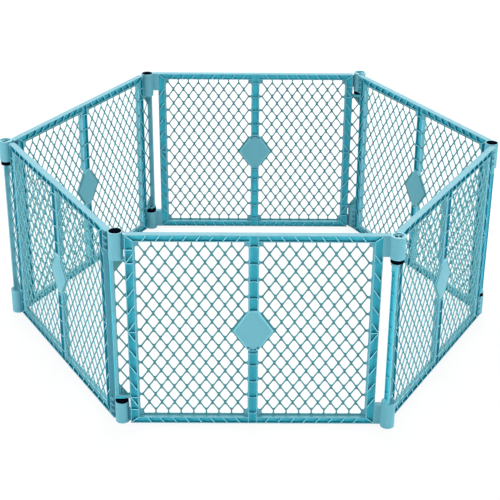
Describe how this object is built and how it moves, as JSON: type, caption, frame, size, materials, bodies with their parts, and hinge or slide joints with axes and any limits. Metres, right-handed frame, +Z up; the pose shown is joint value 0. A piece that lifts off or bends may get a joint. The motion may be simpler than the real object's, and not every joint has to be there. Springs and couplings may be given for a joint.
{
  "type": "folding play yard",
  "caption": "Free-standing hexagonal play yard of hinged moulded panels with diamond lattice, that opens at one corner and folds flat like an accordion.",
  "frame": {"origin": "centre of the footprint's box, on the floor", "axes": "+Z up, +X to the right seen from the front panel, which faces -Y"},
  "size_m": [1.684, 1.4882, 0.653],
  "materials": {
    "aqua_plastic": "satin moulded polypropylene",
    "black_plastic": "satin moulded plastic"
  },
  "bodies": {
    "panel_front": {"frame_front": "aqua_plastic", "lattice_front": "aqua_plastic", "hinge_pin_front_right": "black_plastic", "pivot_bush_front_right": "black_plastic"},
    "panel_right_front": {"frame_right_front": "aqua_plastic", "lattice_right_front": "aqua_plastic", "hinge_pin_right": "black_plastic", "pivot_bush_right": "black_plastic"},
    "panel_right_back": {"frame_right_back": "aqua_plastic", "lattice_right_back": "aqua_plastic", "hinge_pin_back_right": "black_plastic", "pivot_bush_back_right": "black_plastic"},
    "panel_back": {"frame_back": "aqua_plastic", "lattice_back": "aqua_plastic", "hinge_pin_back_left": "black_plastic", "pivot_bush_back_left": "black_plastic"},
    "panel_left_back": {"frame_left_back": "aqua_plastic", "lattice_left_back": "aqua_plastic", "hinge_pin_left": "black_plastic", "pivot_bush_left": "black_plastic"},
    "panel_left_front": {"frame_left_front": "aqua_plastic", "lattice_left_front": "aqua_plastic", "hinge_pin_front_left": "black_plastic", "pivot_bush_front_left": "black_plastic"}
  },
  "joints": [
    {"name": "front_left_hinge", "type": "hinge", "parent": "panel_front", "child": "panel_left_front", "pos_m": [-0.38921, -0.69814, 0], "axis": [0, 0, -1], "range_deg": [0, 120]},
    {"name": "front_right_hinge", "type": "hinge", "parent": "panel_front", "child": "panel_right_front", "pos_m": [0.43078, -0.72214, 0], "axis": [0, 0, -1], "range_deg": [0, 240]},
    {"name": "right_hinge", "type": "hinge", "parent": "panel_right_front", "child": "panel_right_back", "pos_m": [0.82, 0, 0], "axis": [0, 0, 1], "range_deg": [0, 120]},
    {"name": "left_hinge", "type": "hinge", "parent": "panel_left_front", "child": "panel_left_back", "pos_m": [-0.82, 0, 0], "axis": [0, 0, 1], "range_deg": [0, 240]},
    {"name": "back_left_hinge", "type": "hinge", "parent": "panel_left_back", "child": "panel_back", "pos_m": [-0.38921, 0.69814, 0], "axis": [0, 0, -1], "range_deg": [0, 120]}
  ],
  "couplings": [
    {"joint": "front_right_hinge", "follows": "front_left_hinge", "ratio": 2},
    {"joint": "right_hinge", "follows": "front_left_hinge", "ratio": 1},
    {"joint": "left_hinge", "follows": "front_left_hinge", "ratio": 2},
    {"joint": "back_left_hinge", "follows": "front_left_hinge", "ratio": 1}
  ]
}
